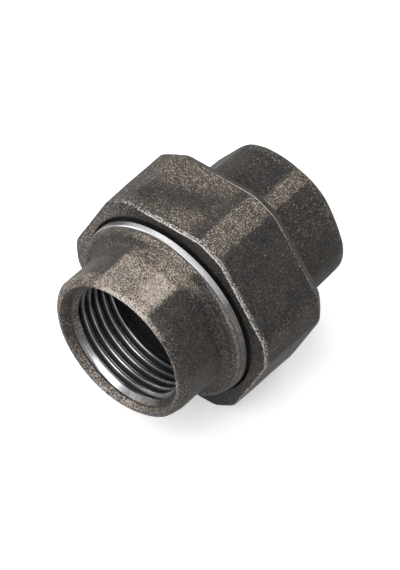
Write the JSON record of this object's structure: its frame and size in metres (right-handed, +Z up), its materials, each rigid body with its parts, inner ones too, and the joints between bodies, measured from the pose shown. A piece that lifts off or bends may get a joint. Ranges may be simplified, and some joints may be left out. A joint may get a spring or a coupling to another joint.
{
  "type": "pipe union",
  "caption": "Conical pipe union: internally threaded hexagonal end pieces drawn together on a conical seat by a larger hexagonal union nut, with a through waterway.",
  "frame": {"origin": "centre of the bounding box, on the pipe axis, midway between the two end faces", "axes": "-Y out of the front mouth along the pipe axis, -Z square to the flat of the nut that the union lies on, +Z up"},
  "size_m": [0.0584, 0.0586, 0.0536],
  "materials": {
    "black_malleable_iron": "dark, grainy as-cast skin, bright where it is machined"
  },
  "bodies": {
    "threaded_end": {"threaded_piece": "black_malleable_iron"},
    "tail_end": {"tail_piece": "black_malleable_iron"},
    "nut": {"union_nut": "black_malleable_iron"}
  },
  "joints": [
    {"name": "nut_turn", "type": "hinge", "parent": "tail_end", "child": "nut", "pos_m": [0, 0, 0], "axis": [0, 1, 0], "range_deg": [0, 1440]},
    {"name": "tail_slide", "type": "slide", "parent": "threaded_end", "child": "tail_end", "axis": [0, 1, 0], "range_m": [0, 0.00924]}
  ],
  "couplings": [
    {"joint": "tail_slide", "follows": "nut_turn", "m_per_rad": 0.00036749}
  ]
}
